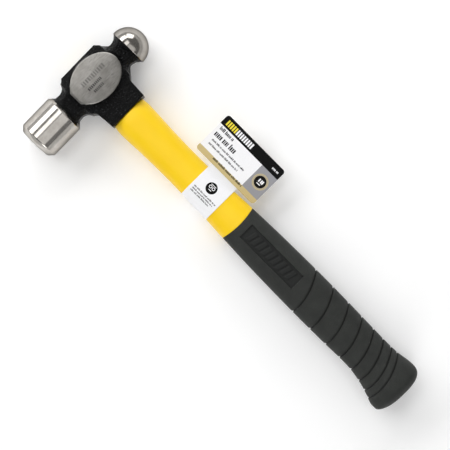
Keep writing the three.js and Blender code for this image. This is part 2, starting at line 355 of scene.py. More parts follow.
def colour(red, green, blue):
    """A screen colour, 0 to 255, as linear light."""
    return tuple(c / 12.92 if c <= 0.04045 else ((c + 0.055) / 1.055) ** 2.4
                 for c in (red / 255, green / 255, blue / 255)) + (1.0,)


def black_forging_paint():
    """Black paint over forging scale: soft pits and a fine grain under a satin coat, with pale specks
    painted on as glints.
    """
    p = Paint("black_forging_paint")
    grain = p.noise(0.9, 4.0, 0.65)
    broad = p.noise(7.0, 2.0)
    # Pale specks are painted glints: highlights on the pits, not the paint's own colour.
    painted_glints = p.spread(p.noise(0.8, 3.0, 0.7, p.stretched((0.6, 1, 1))), 0, 0.7, 0.6, 0.7)
    base = p.blend(p.spread(grain, 0, 1), colour(3, 3, 4), colour(13, 13, 13))
    p.link(p.blend(painted_glints, base, colour(84, 86, 88)), "Base Color")
    p.link(p.spread(broad, 0.16, 0.3), "Roughness")
    p.set(Specular_IOR_Level=0.09)
    p.bump(p.noise(2.0, 2.0), 0.8)
    p.bump(p.pits(0.9), 0.35)
    p.bump(grain, 0.5)
    return p.material


def ground_steel():
    """A belt-ground cheek: long scratches along the head's axis."""
    p = Paint("ground_steel")
    scratches = p.noise(0.2, 3.0, 0.75, p.stretched((0.05, 1, 1)))
    cloud = p.noise(7.0, 3.0)
    base = p.blend(p.spread(scratches, 0, 1), colour(110, 108, 104), colour(168, 166, 162))
    p.link(p.blend(p.spread(cloud, 0, 0.6), base, colour(112, 109, 104)), "Base Color")
    p.link(p.spread(scratches, 0.26, 0.42), "Roughness")
    p.set(Metallic=1.0)
    p.bump(scratches, 0.04)
    return p.material


def polished_steel(name, dark, light):
    """Bright turned steel: fine rings round the head's axis, with light handling marks. The specular tint
    darkens it where it is seen edge on."""
    p = Paint(name)
    rings = p.noise(0.22, 3.0, 0.65, p.stretched((1, 0.03, 0.03)))
    cloud = p.noise(6.0, 3.0)
    p.link(p.blend(p.spread(cloud, 0, 1), dark, light), "Base Color")
    p.link(p.spread(rings, 0.10, 0.2), "Roughness")
    p.set(Metallic=1.0, Specular_Tint=(0.3, 0.3, 0.3, 1.0))
    p.bump(rings, 0.012)
    p.bump(p.noise(4.0, 2.0), 0.02)
    return p.material


def yellow_plastic():
    """Satin moulded polypropylene, with a faint skin and slow changes of gloss."""
    p = Paint("yellow_plastic")
    cloud = p.noise(14.0, 3.0, vector=p.stretched((1, 0.35, 1)))
    p.link(p.blend(p.spread(cloud, 0, 1), colour(247, 203, 14), colour(251, 209, 22)), "Base Color")
    p.link(p.spread(p.noise(5.0, 3.0), 0.34, 0.46), "Roughness")
    p.set(Specular_IOR_Level=0.4, Subsurface_Weight=0.08, Subsurface_Radius=(0.004, 0.002, 0.0005))
    p.bump(p.noise(0.6, 3.0), 0.02)
    p.bump(p.noise(6.0, 1.0), 0.05)
    return p.material


def black_rubber(name, dark, light):
    """Matte moulded rubber with a spark-eroded texture and a little dust in its grain."""
    p = Paint(name)
    grain = p.noise(0.5, 4.0, 0.7)
    broad = p.noise(9.0, 3.0)
    base = p.blend(p.spread(grain, 0, 1), dark, light)
    p.link(p.blend(p.spread(broad, 0, 0.6), base, dark), "Base Color")
    p.link(p.spread(grain, 0.62, 0.8), "Roughness")
    p.set(Specular_IOR_Level=0.35)
    p.bump(grain, 0.05)
    p.bump(p.noise(1.3, 2.0), 0.04)
    return p.material


def printed(name, tone, shine=0.32, gloss=0.3):
    """Ink on coated card: one tone with a faint paper tooth."""
    p = Paint(name)
    fibre = p.noise(0.5, 4.0, 0.6)
    darker = tuple(c * 0.93 for c in tone[:3]) + (1.0,)
    p.link(p.blend(p.spread(fibre, 0, 1), darker, tone), "Base Color")
    p.link(p.spread(p.noise(3.0, 2.0), shine, shine + 0.1), "Roughness")
    p.set(Specular_IOR_Level=gloss)
    p.bump(fibre, 0.006)
    return p.material


def cast_resin():
    """Cloudy amber epoxy with a slightly uneven skin."""
    p = Paint("cast_resin")
    cloud = p.noise(2.5, 4.0)
    p.link(p.blend(p.spread(cloud, 0, 1), colour(150, 128, 82), colour(190, 168, 118)), "Base Color")
    p.link(p.spread(p.noise(1.0, 2.0), 0.22, 0.42), "Roughness")
    p.bump(p.noise(1.6, 2.0), 0.12)
    return p.material


def glass_fibre():
    """Sawn end of a glass-fibre rod: fibre ends as fine dots."""
    p = Paint("glass_fibre")
    dots = p.pits(0.35, p.stretched((1, 0.05, 1)))
    base = p.blend(p.spread(dots, 0, 1, 0.1, 0.6), colour(226, 216, 184), colour(168, 152, 112))
    p.link(base, "Base Color")
    p.link(p.spread(p.noise(1.2, 3.0), 0.5, 0.7), "Roughness")
    p.bump(dots, 0.05)
    return p.material


def pale_floor():
    """Matt white paper, with a little light of its own so that it stays pale far from the lamps."""
    p = Paint("pale_floor")
    cloud = p.noise(60.0, 3.0)
    p.link(p.blend(p.spread(cloud, 0, 1), (0.92, 0.92, 0.92, 1), (0.94, 0.94, 0.94, 1)), "Base Color")
    p.set(Roughness=0.9, Specular_IOR_Level=0.1)
    p.set(Emission_Color=(1, 1, 1, 1), Emission_Strength=0.12)
    return p.material


BLACK_PAINT = black_forging_paint()
GROUND_STEEL = ground_steel()
FACE_STEEL = polished_steel("face_steel", colour(184, 179, 172), colour(202, 198, 192))
# The ball is the face's steel with darker tones: painted shade.
SHADED_BALL_STEEL = polished_steel("shaded_ball_steel", colour(158, 153, 147), colour(176, 172, 166))
YELLOW = yellow_plastic()
RUBBER = black_rubber("black_rubber", colour(27, 29, 27), colour(53, 55, 52))
# A darker copy of the same rubber: painted shade for the panel's recess, its bars and the grooves.
SHADED_RECESS_RUBBER = black_rubber("painted_shade_rubber", colour(17, 19, 18), colour(29, 31, 29))
RESIN = cast_resin()
GLASS_FIBRE = glass_fibre()
WHITE_CARD = printed("white_card", colour(246, 246, 248))
BLACK_INK = printed("black_ink", colour(5, 5, 5), 0.25, 0.12)
GREY_INK = printed("grey_ink", colour(150, 150, 155))
TAN_INK = printed("tan_ink", colour(203, 184, 130))
YELLOW_INK = printed("yellow_ink", colour(238, 220, 60))
FAINT_MARK = printed("faint_mark", colour(100, 98, 95), 0.45)
DARK_MARK = printed("dark_mark", colour(40, 39, 38), 0.45)


# ------------------------------------------------------------
# Head
# ------------------------------------------------------------

def neck_outline(neck, start, end, rim):
    """(distance out, half width) along one neck, from inside the block to the rim of the ball or face."""
    centre = (neck["out"], neck["radius"] + neck["hollow"])
    inside = [(0.0, 11.0), (11.0, 11.0), (15.0, 13.6)]
    return np.array(inside + arc(centre, neck["hollow"], start, end, 24) + [rim])


BALL_SIDE = neck_outline(BALL_NECK, -160, -42, (abs(BALL_CENTRE) + 0.1, BALL_RADIUS - 0.15))
FACE_SIDE = neck_outline(FACE_NECK, -160, -57, (FACE_RIM + 0.1, HALF_WIDTH + 0.1))
BODY_FACE_END = FACE_RIM - 1.5      # the forging ends inside the bright face


def spine(x, y, z):
    """The necks, running into the block. They are square with cut corners, and turn round towards the
    ball and face."""
    edge, round_from, round_by = 0.5, 26.5, 30.0
    out = np.abs(x)
    half = np.where(x < 0, np.interp(out, *BALL_SIDE.T), np.interp(out, *FACE_SIDE.T))
    flats = smooth_max(np.abs(y), np.abs(z), edge)
    squared = smooth_max(flats, (np.abs(y) + np.abs(z)) / NECK_CORNER, edge)
    rounded = np.hypot(y, z)
    share = smoothstep(out, round_from, round_by)
    section = squared * (1 - share) + rounded * share
    shorter = 0.8       # a sloping outline is nearer than it is straight up
    ends = np.maximum(BALL_CENTRE - x, x - BODY_FACE_END)
    return np.maximum((section - half) * shorter, ends)


# Half sizes of the eye block, as (place along the handle, half size) points.
block_across = through([
    (BLOCK_TOP, 16.2), (-13.6, 18.5), (13.8, 18.5), (17.2, 16.2), (20, 15.8), (BLOCK_END, 15.2)])
block_depth = through([
    (BLOCK_TOP, 9.9), (-14, 11.2), (-8, 12.0), (6, 12.0), (20, 11.5), (BLOCK_END, 11.2)])


def eye_block(x, y, z):
    """The block round the eye, a tapering box with soft corners."""
    corner = 0.6
    middle, half = (BLOCK_TOP + BLOCK_END) / 2, (BLOCK_END - BLOCK_TOP) / 2
    past = [np.abs(x) - block_across(y), np.abs(y - middle) - half, np.abs(z) - block_depth(y)]
    gaps = np.stack(past) + corner
    return np.sqrt((np.maximum(gaps, 0) ** 2).sum(0)) + np.minimum(gaps.max(0), 0) - corner


def cheek_boss(x, y, z):
    """The oval column that carries the ground cheeks, cut straight at the face's end. Its wall spreads
    towards the middle plane."""
    down = HALF_WIDTH - np.abs(z)
    spread = 0.16 * down + 0.012 * down ** 2
    across, along = CHEEK["across"] + spread, CHEEK["along"] + spread
    u, v = (x - CHEEK["centre"]) / across, y / along
    tiny = 1e-9
    q = np.sqrt(u * u + v * v) + tiny
    steepness = np.sqrt((u / across) ** 2 + (v / along) ** 2) + tiny
    return smooth_max(q * (q - 1) / steepness, x - CHEEK["flat"] - spread, 0.4)


def eye_space(x, y, z):
    """The eye: an oval channel, narrowest in the middle."""
    places, square = (BLOCK_TOP, 4, BLOCK_END), 2.4
    across = np.interp(y, places, (13.1, 12.3, 12.7))
    depth = np.interp(y, places, (8.3, 7.6, 8.0))
    q = (np.abs(x / across) ** square + np.abs(z / depth) ** square) ** (1 / square)
    return (q - 1) * depth


def forging(points):
    """Distance from the whole forging: necks, block and cheeks blended, less the eye."""
    x, y, z = points.T
    solid = smooth_min(spine(x, y, z), eye_block(x, y, z), 2.4)
    solid = smooth_min(solid, cheek_boss(x, y, z), 1.6)
    solid = smooth_max(solid, -eye_space(x, y, z), 0.9)
    solid = smooth_max(solid, np.abs(z) - HALF_WIDTH - 0.05, CHEEK_EDGE)
    solid = smooth_max(solid, BLOCK_TOP - y, 0.4)
    return np.maximum(solid, np.maximum(BALL_CENTRE - x, x - BODY_FACE_END))


def head_body():
    """The black forging between ball and face. Both cheeks are cut flat and left bright."""
    step = 0.5
    low = (BALL_CENTRE - 1.3 * step, BLOCK_TOP - 2 * step, -HALF_WIDTH - 2 * step)
    high = (BODY_FACE_END + 2 * step, BLOCK_END + 2 * step, HALF_WIDTH + 2 * step)
    points, quads = surface_nets(forging, low, high, step)
    points = settle(points, forging)

    head = bmesh.new()
    corners = [head.verts.new(p) for p in points]
    for quad in quads:
        head.faces.new([corners[i] for i in quad])
    bmesh.ops.recalc_face_normals(head, faces=head.faces)
    for side in (1, -1):
        out = (0, 0, side)
        made = bmesh.ops.bisect_plane(head, geom=everything(head), plane_co=(0, 0, side * CHEEK_OUT),
                                      plane_no=out, clear_outer=True)
        rim = [e for e in made["geom_cut"] if isinstance(e, bmesh.types.BMEdge)]
        bmesh.ops.holes_fill(head, edges=rim)
        bmesh.ops.bisect_plane(head, geom=everything(head), plane_co=(0, 0, side * GROUND_FROM),
                               plane_no=out)
    bmesh.ops.dissolve_degenerate(head, dist=0.02, edges=head.edges)
    head.verts.index_update()
    points = [v.co.copy() for v in head.verts]
    faces = [[v.index for v in f.verts] for f in head.faces]
    ground = [int(all(abs(v.co.z) > GROUND_FROM - 0.001 for v in f.verts)) for f in head.faces]
    head.free()
    piece("head_body", points, faces, [BLACK_PAINT, GROUND_STEEL], HEAD_FRAME,
          replaces=["head"], crease=38, face_materials=ground)


TURNED_SIDES = 192


def ball():
    """The polished ball, with a small rounded rim and a closed back inside the forging."""
    rim = 0.35
    profile = arc((BALL_CENTRE, 0), BALL_RADIUS, 179, 92, 48)
    profile += arc((BALL_CENTRE + 0.1, BALL_RADIUS - rim), rim, 80, 0, 4)
    profile += [(BALL_CENTRE + 0.45, 1.0)]
    points, faces = loft(lathe_x(profile, TURNED_SIDES))
    # The darker steel on the ball is painted shade.
    piece("ball", points, faces, [SHADED_BALL_STEEL], HEAD_FRAME)


def striking_face():
    """The polished striking face: cylinder, rounded chamfer and slightly crowned face."""
    edge = (FACE_REACH - 0.9, 12.0)
    bevel = (FACE_REACH - 4.0, HALF_WIDTH)
    back = (BODY_FACE_END - 0.4, HALF_WIDTH - 2.15)
    profile = [(back[0], 1.0), back]
    profile += arc((FACE_RIM + 0.5, HALF_WIDTH - 0.55), 0.55, 135, 90, 5)
    profile += [(x, HALF_WIDTH) for x in np.linspace(FACE_RIM + 1, bevel[0] - 0.7, 12)]
    profile += [(bevel[0] - 0.25, HALF_WIDTH - 0.06), (bevel[0] + 0.25, HALF_WIDTH - 0.34)]
    profile += [(edge[0] - 0.4, edge[1] + 0.42), (edge[0] - 0.05, edge[1] - 0.05)]
    crown = np.linspace(edge[1] - 0.6, 0.3, 14)
    profile += [(FACE_REACH - 0.75 * (r / edge[1]) ** 2, r) for r in crown]
    points, faces = loft(lathe_x(profile, TURNED_SIDES))
    piece("striking_face", points, faces, [FACE_STEEL], HEAD_FRAME, crease=30)


# ------------------------------------------------------------
# Handle
# ------------------------------------------------------------

# Half sizes of the handle and grip, as (place along the handle, half size) points.
ball_half = through([
    (31, 13.6), (38, 14.05), (60, 13.1), (84, 12.75), (120, 13.5), (MOUTH, 14.4), (165, 15.4),
    (205, 16), (235, 15.75), (262, 15.3), (276, 15.6), (BUTT_START, 17.4)])
face_half = through([
    (31, 13.4), (38, 14.05), (60, 13.1), (84, 12.75), (120, 13.5), (MOUTH, 14.4), (165, 15.4),
    (205, 15.9), (235, 15.65), (260, 15.2), (274, 17.3), (283, 20), (BUTT_START, 22.3)])
depth_half = through([
    (31, 10.2), (38, 10.6), (60, 9.8), (84, 9.4), (120, 9.9), (MOUTH, 10.6), (165, 11.9),
    (205, 12.6), (235, 12.3), (262, 12), (276, 13), (BUTT_START, HALF_WIDTH)])


def oval(turns, y, ball_side, face_side, depth, square):
    """A superellipse ring in the XZ plane. Every size may be one number or one for each point."""
    c, s = np.cos(turns), np.sin(turns)
    x = np.where(c < 0, ball_side, face_side) * np.sign(c) * np.abs(c) ** (2 / square)
    z = depth * np.sign(s) * np.abs(s) ** (2 / square)
    return np.column_stack([x, np.broadcast_to(y, x.shape), z])


def handle_ring(turns, y, grow=0.0, share=1.0, bend=None):
    """A ring of the handle's outside. bend moves each point along the handle as a function of its x,
    and the point takes the size that the handle has where it lands."""
    at = np.full(len(turns), float(y))
    for _ in range(4):
        ring = oval(turns, at, ball_half(at) * share + grow, face_half(at) * share + grow,
                    depth_half(at) * share + grow, SQUARE)
        if bend is None:
            break
        at = y + bend(ring[:, 0])
    return ring


def mouth_bow(x):
    """How far the grip's mouth bows along the handle."""
    return MOUTH_BOW * (1 - (x / ball_half(MOUTH)) ** 2)


def square_to_head(x):
    """The slope of the shoulder, which is square to the head and not to the handle."""
    return x * tan(HANG)


def tenon_ring(turns, y, less=0.0):
    """A ring of the jacket's tenon, smaller all round at its chamfered end."""
    across = TENON["across"] - less
    return oval(turns, y, across, across, TENON["depth"] - less, TENON["square"])


def jacket():
    """The yellow moulding: tenon, shoulder against the head, waist, and its seat's start in the grip."""
    turns = even_turns(128)
    top, shoulder = TENON["top"], BLOCK_END + 0.35
    parting, seat = 0.12, 1.4
    tenon = [tenon_ring(turns, top, 0.5), tenon_ring(turns, top + 0.2, 0.15),
             tenon_ring(turns, top + 0.5), tenon_ring(turns, shoulder)]
    edge = [handle_ring(turns, shoulder + on, -less, bend=square_to_head)
            for on, less in ((0, 0.6), (0.08, 0.3), (0.3, 0.08), (0.6, 0))]
    side = [handle_ring(turns, y) for y in np.linspace(shoulder + 2, MOUTH - 3, 70)]
    for ring in side:
        ring[[0, len(turns) // 2], 0] += (parting, -parting)      # the line where the mould's halves met
    mouth = [handle_ring(turns, MOUTH + on, -less, bend=mouth_bow)
             for on, less in ((-1, 0), (0.1, 0), (0.2, seat))]
    mouth.append(handle_ring(turns, MOUTH + 4, -seat))
    points, faces = loft(tenon + edge + side + mouth)
    piece("jacket", points, faces, [YELLOW], HANDLE_FRAME, replaces=["handle_jacket"])


def rod_end():
    """The fibreglass rod, seen where it was sawn off flush in the eye."""
    turns = even_turns(96)
    rings = [oval(turns, TENON["top"] + on, ROD["across"] - less, ROD["across"] - less,
                  ROD["depth"] - less, 2)
             for on, less in ((-0.12, 0.15), (-0.02, 0), (12, 0))]
    points, faces = loft(rings)
    piece("rod_end", points, faces, [GLASS_FIBRE], HANDLE_FRAME, replaces=["core_rod"])


def resin_fill():
    """The resin in the eye, with a hollow meniscus between the tenon and the steel."""
    turns = even_turns(160)
    top = BLOCK_TOP + 1.6
    rings = []
    for share in np.linspace(0, 1, 14):
        grow = 0.2 + share * 1.9
        climb = 0.9 * (2 * share - 1) ** 4
        rings.append(oval(turns, top + 0.9 - climb, TENON["across"] + grow, TENON["across"] + grow,
                          TENON["depth"] + grow * 0.75, TENON["square"] + 0.2 * share))
    last = rings[-1].copy()
    last[:, 1] = top + 10
    plug = rings[0].copy()
    plug[:, 1] = top + 2.5
    points, faces = loft([plug] + rings + [last])
    piece("eye_fill", points, faces, [RESIN], HEAD_FRAME, replaces=["eye_resin"])


# ------------------------------------------------------------
# Grip
# ------------------------------------------------------------

def groove_bend(x):
    """How far a groove bows along the handle, highest near the face's side."""
    across = x / GRIP_WIDTH + 0.5
    return GROOVES["slant"] * (1 - (across / GROOVES["crest"] - 1) ** 2)


FAN = (PANEL["end"] + 0.8, GROOVES["first"] - 1.7)      # where the rings turn to the grooves' slant


def slant_share(s):
    """How much of the grooves' slant a ring has: none beside the panel and at the end of the butt."""
    return smoothstep(s, *FAN) * (1 - smoothstep(s, 279, 298))


def slanted(s):
    """The bend of the ring at place s."""
    share = slant_share(s)
    return lambda x: share * groove_bend(x)


def groove_places():
    """Where the grooves lie along the handle, ever closer together."""
    i = np.arange(GROOVES["count"])
    return GROOVES["first"] + i * GROOVES["gap"] - GROOVES["shrink"] * i * (i - 1) / 2


def groove_depth(s):
    """A soft slope into each groove from the head's side, and a steep wall out of it."""
    depth = 0.0
    for place in groove_places():
        entry = smoothstep(s, place - 1.5, place - 0.1) * (1 - smoothstep(s, place + 0.05, place + 0.5))
        depth += GROOVES["depth"] * entry
    return depth


def panel_depth(x, y):
    """The panel's recess, with a row of slanted bars standing in it."""
    middle, half = PANEL["middle"], PANEL["height"] / 2
    wall, margin, slope = 0.35, 4.6, 0.28
    pitch, bars, wide, clear, rise = 4.6, 9, 2.9, 2.3, 0.62
    inset = np.minimum(half - np.abs(x - middle), np.minimum(y - PANEL["start"], PANEL["end"] - y))
    recess = smoothstep(inset, 0, wall)
    along = (y - PANEL["start"]) + (x - middle) * slope - margin
    beat = np.mod(along, pitch)
    raised = smoothstep(beat, 0, wall) * (1 - smoothstep(beat, wide, wide + wall))
    raised *= np.where((along > 0) & (along < bars * pitch), 1, 0)
    raised *= 1 - smoothstep(np.abs(x - middle), half - clear, half - clear + wall)
    return PANEL["depth"] * (recess - rise * raised)


def in_recess(x, y, z):
    """Whether a point lies below the grip's surface in the panel, on the recess's floor or on a bar."""
    return PANEL["start"] < y < PANEL["end"] and abs(z) > 5 and panel_depth(x, y) > 0.3 * PANEL["depth"]


def grip_turns():
    """Angles round the grip, closest together over the panels."""
    usual_half = 15.2
    reach = PANEL["height"] / 2 + 1.0
    xs = np.linspace(-reach, reach, 52)
    over = np.arccos(np.sign(xs) * np.abs(xs / usual_half) ** (SQUARE / 2))[::-1]
    right = np.linspace(0, over[0], 16, endpoint=False)
    left = np.linspace(over[-1], pi, 16, endpoint=False)[1:]
    top = np.concatenate([right, over, left])
    return np.concatenate([top, top + pi])


def grip_stations():
    """Ring places: close together in the panel and at each groove."""
    coarse = np.arange(MOUTH + 2.5, BUTT_START, 1.6)
    fine = 0.32
    panel = np.arange(PANEL["start"] - 0.7, FAN[0], fine)
    grooves = [place + offset for place in groove_places()
               for offset in (-1.7, -1.5, -1.2, -0.9, -0.6, -0.3, -0.1, 0.05, 0.2, 0.35, 0.5, 0.7)]
    kept = [s for s in coarse
            if not panel[0] < s < panel[-1] and min(abs(s - g) for g in grooves) > 0.5]
    return np.array(sorted(set(kept) | set(panel) | set(np.linspace(*FAN, 12)) | set(grooves)))


def grip():
    """The rubber sleeve: lip, panel, grooves and flared butt, with painted shade in the grooves and the
    panel.
    """
    turns = grip_turns()
    front, lip = MOUTH + 0.25, 0.5
    rings = [handle_ring(turns, front, -1.2, bend=mouth_bow)]
    rings += [handle_ring(turns, front + lip * (1 - cos(a)), -lip * (1 - sin(a)), bend=mouth_bow)
              for a in np.linspace(0, pi / 2, 5)]
    shaded_groove_rings = set()
    for s in grip_stations():
        depth = groove_depth(s)
        ring = handle_ring(turns, s, -depth, bend=slanted(s))
        if s < FAN[0]:
            facing = np.abs(np.sin(turns)) > 0.3
            recess = np.where(facing, panel_depth(ring[:, 0], ring[:, 1]), 0)
            ring[:, 2] -= np.sign(ring[:, 2]) * recess
        if depth > 0.5 * GROOVES["depth"]:
            shaded_groove_rings.add(len(rings))
        rings.append(ring)
    length, power, smallest = HANDLE_END - BUTT_START - 0.1, 2 / 2.7, 0.02
    for a in np.linspace(0, pi / 2, 18)[1:]:
        share = max(max(cos(a), 0) ** power, smallest)
        s = BUTT_START + length * sin(a) ** power
        rings.append(handle_ring(turns, s, 0, share, slanted(s)))
    points, faces = loft(rings)
    # Faces in the grooves and in the panel's recess take the darker rubber as painted shade.
    painted_shade_faces = [int(all(i // len(turns) in shaded_groove_rings or in_recess(*points[i]) for i in face))
                for face in faces]
    piece("grip_sleeve", points, faces, [RUBBER, SHADED_RECESS_RUBBER], HANDLE_FRAME,
          replaces=["grip"], crease=50, face_materials=painted_shade_faces)


# ------------------------------------------------------------
# Label
# ------------------------------------------------------------

BAND_GAP = 0.05         # between the jacket and the band


def leaf_section(y, grow, tip):
    """The band's section: the jacket's outline, drawn out on the ball side into two leaves that meet
    at tip."""
    turns = even_turns(180)
    ring = handle_ring(turns, y, grow)
    for sign in (1, -1):
        side = np.where(np.sign(ring[:, 2]) == sign)[0]
        slopes = (np.abs(ring[side, 2]) - tip[1]) / (ring[side, 0] - tip[0])
        touch = side[np.argmax(slopes)]
        for i in side:
            if ring[i, 0] < ring[touch, 0]:
                run = -ball_half(y) - grow - ring[touch, 0]
                share = np.clip((ring[i, 0] - ring[touch, 0]) / run, 0, 1)
                ring[i, 0] = ring[touch, 0] + share * (tip[0] - ring[touch, 0])
                ring[i, 2] = ring[touch, 2] + share * (sign * tip[1] - ring[touch, 2])
    flat = np.abs(ring[:, 2]) < 1e-6
    ring[flat & (ring[:, 0] < 0), 0] = tip[0]
    return ring


def band():
    """The card round the jacket: outside rings joined to inside rings."""
    tip = -FLAG["inner"]
    ys = np.linspace(BAND["start"], BAND["end"], 14)
    outside = [leaf_section(y, BAND_GAP + BAND["thick"], (tip, FLAG["thick"] / 2)) for y in ys]
    inside = [leaf_section(y, BAND_GAP, (tip + 0.6, 0.02)) for y in ys]
    rings = outside + inside[::-1]
    count = len(rings[0])
    points = np.vstack(rings)
    faces = []
    for r in range(len(rings)):
        a, b = r * count, (r + 1) % len(rings) * count
        faces += [(a + i, a + (i + 1) % count, b + (i + 1) % count, b + i) for i in range(count)]
    return points, faces


def flag_height(x, y):
    """The flag's slight curl away from its middle plane."""
    return 0.5 * ((y - 107) / 28) ** 2 * smoothstep(-x, FLAG["inner"], FLAG["outer"])


# Edges of the flag's printed areas: two along the handle, and one across it.
BLACK_BAND = FLAG["outer"] - 7.9
TAN_STRIP = FLAG["inner"] + 4.2
GREY_PANEL = 120.8
CARD_INKS = [WHITE_CARD, BLACK_INK, TAN_INK, GREY_INK]


def card_ink(x, y):
    """Which ink covers the flag at a point, as a place in CARD_INKS."""
    out = -x
    if out > BLACK_BAND:
        return 1
    if out < TAN_STRIP:
        return 2
    return 3 if y > GREY_PANEL else 0


def flag():
    """The flag and its tab, cut along the edges of each printed area."""
    start, end = FLAG["start"], FLAG["end"]
    inner, outer, r = FLAG["inner"], FLAG["outer"], FLAG["corner"]
    tab = -inner + 0.4      # the flag runs this far into the band
    outline = arc((-outer + r, start + r), r, 180, 270, 8)
    outline += arc((-inner - r, start + r), r, 270, 360, 8)
    outline += [(-inner, BAND["start"]), (tab, BAND["start"]), (tab, BAND["end"]), (-inner, BAND["end"])]
    outline += arc((-inner - r, end - r), r, 0, 90, 8)
    outline += arc((-outer + r, end - r), r, 90, 180, 8)
    sheet = bmesh.new()
    sheet.faces.new([sheet.verts.new((x, y, FLAG["thick"] / 2)) for x, y in outline])
    cuts = [((-BLACK_BAND, 0, 0), (1, 0, 0)), ((-TAN_STRIP, 0, 0), (1, 0, 0))]
    cuts += [((-inner, 0, 0), (1, 0, 0)), ((0, GREY_PANEL, 0), (0, 1, 0))]
    cuts += [((-o, 0, 0), (1, 0, 0)) for o in np.linspace(inner + 8, outer - 2, 8)]
    cuts += [((0, y, 0), (0, 1, 0)) for y in np.linspace(start + 2, end - 2, 16)]
    for at, normal in cuts:
        bmesh.ops.bisect_plane(sheet, geom=everything(sheet), plane_co=at, plane_no=normal, dist=1e-4)
    for face in sheet.faces:
        centre = face.calc_center_median()
        face.material_index = card_ink(centre.x, centre.y)
    grown = bmesh.ops.extrude_face_region(sheet, geom=sheet.faces[:])
    for v in grown["geom"]:
        if isinstance(v, bmesh.types.BMVert):
            v.co.z = -FLAG["thick"] / 2
    for v in sheet.verts:
        v.co.z += flag_height(v.co.x, v.co.y)
    for face in sheet.faces:
        face.normal_update()
        if abs(face.normal.z) < 0.5:
            face.material_index = 0
    sheet.verts.index_update()
    points = [v.co.copy() for v in sheet.verts]
    faces = [[v.index for v in f.verts] for f in sheet.faces]
    inks = [f.material_index for f in sheet.faces]
    sheet.free()
    return points, faces, inks


def label():
    """The card: the band and the flag as one piece."""
    band_points, band_faces = band()
    flag_points, flag_faces, inks = flag()
    points = list(band_points) + flag_points
    faces = band_faces + [[i + len(band_points) for i in f] for f in flag_faces]
    piece("label", points, faces, CARD_INKS, HANDLE_FRAME, replaces=["flag_label"],
          crease=30, face_materials=[0] * len(band_faces) + inks)


# Print: thin closed shells of ink, laid on the flag, wrapped on the band or set on the cheek.

INK = 0.03
BOTH_SIDES = (1, -1)


def on_flag(x, y, side):
    """Height of the flag's surface."""
    return flag_height(x, y) + side * FLAG["thick"] / 2


def on_band(x, y, side):
    """Height of the band's outside."""
    grow = BAND["thick"] + BAND_GAP
    half = np.where(np.asarray(x) < 0, ball_half(y), face_half(y)) + grow
    depth = depth_half(y) + grow
    return side * depth * (1 - np.abs(x / half) ** SQUARE) ** (1 / SQUARE)


def patch(columns, place, side):
    """A shell of ink over a grid of (x, y) columns that all have the same count of points."""
    grid = np.array(columns, float)
    rows, count = grid.shape[:2]
    height = np.array([[place(x, y, side) for x, y in row] for row in grid])
    top = np.dstack([grid, height + side * INK]).reshape(-1, 3)
    bottom = np.dstack([grid, height - side * INK]).reshape(-1, 3)
    n = rows * count
    faces = []
    for r in range(rows - 1):
        for c in range(count - 1):
            a, b, d, e = r * count + c, r * count + c + 1, (r + 1) * count + c + 1, (r + 1) * count + c
            faces += [(a, b, d, e), (a + n, e + n, d + n, b + n)]
    edge = list(range(count)) + [r * count + count - 1 for r in range(1, rows)]
    edge += [(rows - 1) * count + c for c in range(count - 2, -1, -1)]
    edge += [r * count for r in range(rows - 2, 0, -1)]
    faces += [(edge[i], edge[i - 1], edge[i - 1] + n, edge[i] + n) for i in range(len(edge))]
    return np.vstack([top, bottom]), faces


def bar(x0, x1, y0, y1, steps=4):
    """Columns of an upright bar, for patch()."""
    return [[(x, y) for y in (y0, y1)] for x in np.linspace(x0, x1, steps)]


def ring_columns(x, y, outer, inner, rings=2, sides=40):
    """Columns of a ring, or of a disc when inner is almost nothing. The first and last column meet."""
    radii = np.linspace(inner, outer, rings)
    return [[(x + r * cos(a), y + r * sin(a)) for r in radii] for a in np.linspace(0, 2 * pi, sides + 1)]


def blocks(y0, count, x_low, x_high, width=1.25, pitch=1.9):
    """A row of equal upright blocks."""
    return [bar(x_low, x_high, y0 + i * pitch, y0 + i * pitch + width) for i in range(count)]


def words(rng, y0, y1, x_low, x_high, letter):
    """A line of stand-in print: groups of upright bars of two heights, spaced as words would be."""
    short = x_low + 0.28 * (x_high - x_low)
    bars, at, left = [], y0, rng.integers(3, 8)
    while at + letter < y1:
        width = letter * rng.uniform(0.55, 1.0)
        start = x_low if rng.uniform() < 0.35 else short
        bars.append(bar(start, x_high, at, at + width, 2))
        left -= 1
        at += width + letter * 0.38
        if left == 0:
            at += letter * 0.9
            left = rng.integers(3, 9)
    return bars


def print_piece(name, shapes, place, ink, sides=(1,), local=HANDLE_FRAME):
    """Patches of one ink as one piece, on the upper side or on both."""
    points, faces = [], []
    for side in sides:
        for shape in shapes:
            more, more_faces = patch(shape, place, side)
            faces += [[i + len(points) for i in f] for f in more_faces]
            points += list(more)
    piece(name, points, faces, [ink], local)


